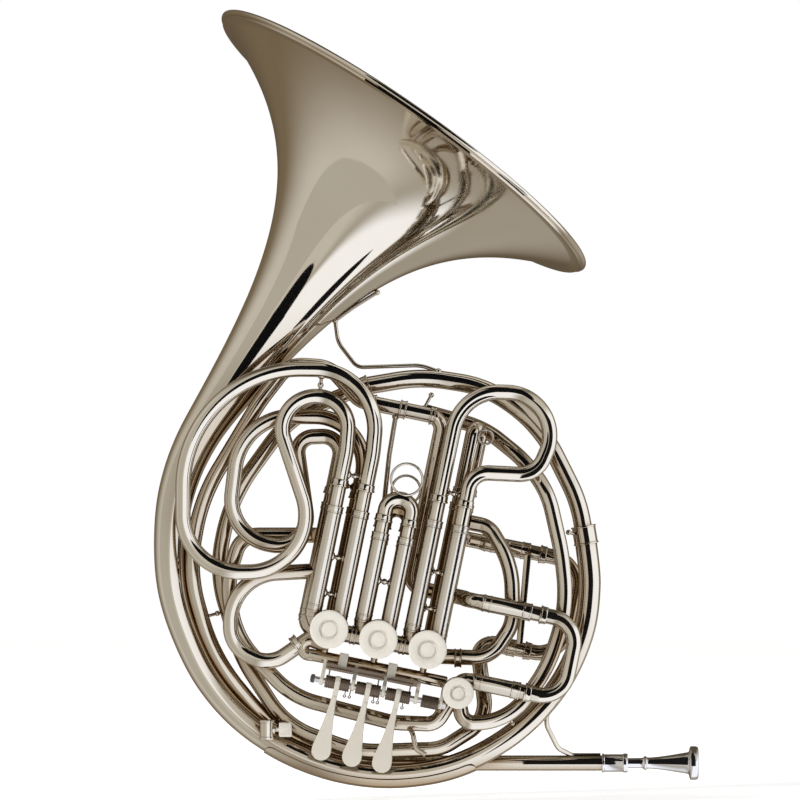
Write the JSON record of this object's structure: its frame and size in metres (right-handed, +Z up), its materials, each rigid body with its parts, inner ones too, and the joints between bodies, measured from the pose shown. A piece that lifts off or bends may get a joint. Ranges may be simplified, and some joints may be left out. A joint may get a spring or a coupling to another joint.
{
  "type": "french horn",
  "caption": "Double french horn with a wide flared bell, wrapped tubes, rotary valves worked by finger levers, pull slides and a removable mouthpiece.",
  "frame": {"origin": "axis of the middle rotary valve, at the middle of the horn's depth, where the left hand holds the horn", "axes": "+X to the right towards the mouthpiece, +Z up towards the bell, +Y away from the side that shows the valve caps"},
  "size_m": [0.3822, 0.3087, 0.5458],
  "materials": {
    "nickel_silver": "polished nickel silver under clear lacquer",
    "silver_plate": "bright silver plate",
    "rotor_metal": "ground",
    "satin_caps": "satin, bead blasted",
    "satin_levers": "satin",
    "spring_steel": "blued wire",
    "string_cord": "braided cord"
  },
  "bodies": {
    "horn_body": {"bell_flare": "nickel_silver", "bell_rim_wire": "nickel_silver", "bell_branch": "nickel_silver", "body_guard": "nickel_silver", "bell_ferrule": "nickel_silver", "first_branch": "nickel_silver", "bell_brace": "nickel_silver", "leadpipe": "nickel_silver", "mouthpiece_receiver": "nickel_silver", "leadpipe_brace": "nickel_silver", "valve_casing_1": "nickel_silver", "valve_casing_2": "nickel_silver", "valve_casing_3": "nickel_silver", "change_valve_casing": "nickel_silver", "valve_cap_1": "satin_caps", "valve_cap_2": "satin_caps", "valve_cap_3": "satin_caps", "change_valve_cap": "satin_caps", "bearing_plates": "nickel_silver", "hinge_rod": "nickel_silver", "lever_posts": "satin_caps", "lever_springs": "spring_steel", "lever_rail": "nickel_silver", "f_slide_sleeves": "nickel_silver", "bflat_slide_sleeves": "nickel_silver", "tuning_sleeves": "nickel_silver", "f_tuning_sleeves": "nickel_silver", "left_crossover": "nickel_silver", "right_crossover": "nickel_silver", "change_valve_tube": "nickel_silver", "lower_feed_tube": "nickel_silver", "finger_hook": "nickel_silver", "lyre_socket": "nickel_silver", "lyre_screw": "satin_caps", "body_braces": "nickel_silver"},
    "mouthpiece": {"mouthpiece": "silver_plate"},
    "first_valve": {"valve_rotor_1": "rotor_metal", "stop_arm_1": "nickel_silver"},
    "second_valve": {"valve_rotor_2": "rotor_metal", "stop_arm_2": "nickel_silver"},
    "third_valve": {"valve_rotor_3": "rotor_metal", "stop_arm_3": "nickel_silver"},
    "change_valve": {"change_valve_rotor": "rotor_metal", "change_stop_arm": "nickel_silver"},
    "first_lever": {"finger_lever_1": "satin_levers", "lever_string_1": "string_cord"},
    "second_lever": {"finger_lever_2": "satin_levers", "lever_string_2": "string_cord"},
    "third_lever": {"finger_lever_3": "satin_levers", "lever_string_3": "string_cord"},
    "change_lever": {"thumb_lever": "satin_levers", "thumb_string": "string_cord"},
    "first_f_slide": {"first_f_crook": "nickel_silver"},
    "second_f_slide": {"second_f_crook": "nickel_silver"},
    "third_f_slide": {"third_f_crook": "nickel_silver"},
    "first_bflat_slide": {"first_bflat_crook": "nickel_silver"},
    "second_bflat_slide": {"second_bflat_crook": "nickel_silver"},
    "third_bflat_slide": {"third_bflat_crook": "nickel_silver"},
    "main_tuning_slide": {"main_tuning_crook": "nickel_silver"},
    "f_tuning_slide": {"f_tuning_crook": "nickel_silver"}
  },
  "joints": [
    {"name": "first_lever_press", "type": "hinge", "parent": "horn_body", "child": "first_lever", "pos_m": [-0.02859, -0.026, -0.03088], "axis": [0.9796, 0, -0.2011], "range_deg": [0, 15], "stiffness_Nm_per_rad": 0.12, "springref_deg": -20.05},
    {"name": "first_valve_turn", "type": "hinge", "parent": "horn_body", "child": "first_valve", "pos_m": [-0.03429, 0, 0.00704], "axis": [0, 1, 0], "range_deg": [-90, 0]},
    {"name": "second_lever_press", "type": "hinge", "parent": "horn_body", "child": "second_lever", "pos_m": [-0.00724, -0.026, -0.03526], "axis": [0.9796, 0, -0.2011], "range_deg": [0, 15], "stiffness_Nm_per_rad": 0.12, "springref_deg": -20.05},
    {"name": "second_valve_turn", "type": "hinge", "parent": "horn_body", "child": "second_valve", "pos_m": [0, 0, 0], "axis": [0, 1, 0], "range_deg": [-90, 0]},
    {"name": "third_lever_press", "type": "hinge", "parent": "horn_body", "child": "third_lever", "pos_m": [0.01363, -0.026, -0.03955], "axis": [0.9796, 0, -0.2011], "range_deg": [0, 15], "stiffness_Nm_per_rad": 0.12, "springref_deg": -20.05},
    {"name": "third_valve_turn", "type": "hinge", "parent": "horn_body", "child": "third_valve", "pos_m": [0.03429, 0, -0.00704], "axis": [0, 1, 0], "range_deg": [0, 90]},
    {"name": "change_lever_press", "type": "hinge", "parent": "horn_body", "child": "change_lever", "pos_m": [0.03586, -0.026, -0.04411], "axis": [0.9796, 0, -0.2011], "range_deg": [0, 12], "stiffness_Nm_per_rad": 0.15, "springref_deg": -22.92},
    {"name": "change_valve_turn", "type": "hinge", "parent": "horn_body", "child": "change_valve", "pos_m": [0.05559, 0, -0.03754], "axis": [0, 1, 0], "range_deg": [-90, 0]},
    {"name": "first_f_slide_pull", "type": "slide", "parent": "horn_body", "child": "first_f_slide", "axis": [0.2011, 0, 0.9796], "range_m": [0, 0.032]},
    {"name": "second_f_slide_pull", "type": "slide", "parent": "horn_body", "child": "second_f_slide", "axis": [0.2011, 0, 0.9796], "range_m": [0, 0.026]},
    {"name": "third_f_slide_pull", "type": "slide", "parent": "horn_body", "child": "third_f_slide", "axis": [0.2011, 0, 0.9796], "range_m": [0, 0.034]},
    {"name": "first_bflat_slide_pull", "type": "slide", "parent": "horn_body", "child": "first_bflat_slide", "axis": [0.2011, 0, 0.9796], "range_m": [0, 0.028]},
    {"name": "second_bflat_slide_pull", "type": "slide", "parent": "horn_body", "child": "second_bflat_slide", "axis": [0.2011, 0, 0.9796], "range_m": [0, 0.024]},
    {"name": "third_bflat_slide_pull", "type": "slide", "parent": "horn_body", "child": "third_bflat_slide", "axis": [0.2011, 0, 0.9796], "range_m": [0, 0.038]},
    {"name": "main_tuning_slide_pull", "type": "slide", "parent": "horn_body", "child": "main_tuning_slide", "axis": [0.9796, 0, -0.2011], "range_m": [0, 0.02]},
    {"name": "f_tuning_slide_pull", "type": "slide", "parent": "horn_body", "child": "f_tuning_slide", "axis": [0.9796, 0, -0.2011], "range_m": [0, 0.012]},
    {"name": "mouthpiece_pull", "type": "slide", "parent": "horn_body", "child": "mouthpiece", "axis": [1, 0, 0], "range_m": [0, 0.02]}
  ],
  "couplings": [
    {"joint": "first_valve_turn", "follows": "first_lever_press", "ratio": -6},
    {"joint": "second_valve_turn", "follows": "second_lever_press", "ratio": -6},
    {"joint": "third_valve_turn", "follows": "third_lever_press", "ratio": 6},
    {"joint": "change_valve_turn", "follows": "change_lever_press", "ratio": -7.5}
  ]
}
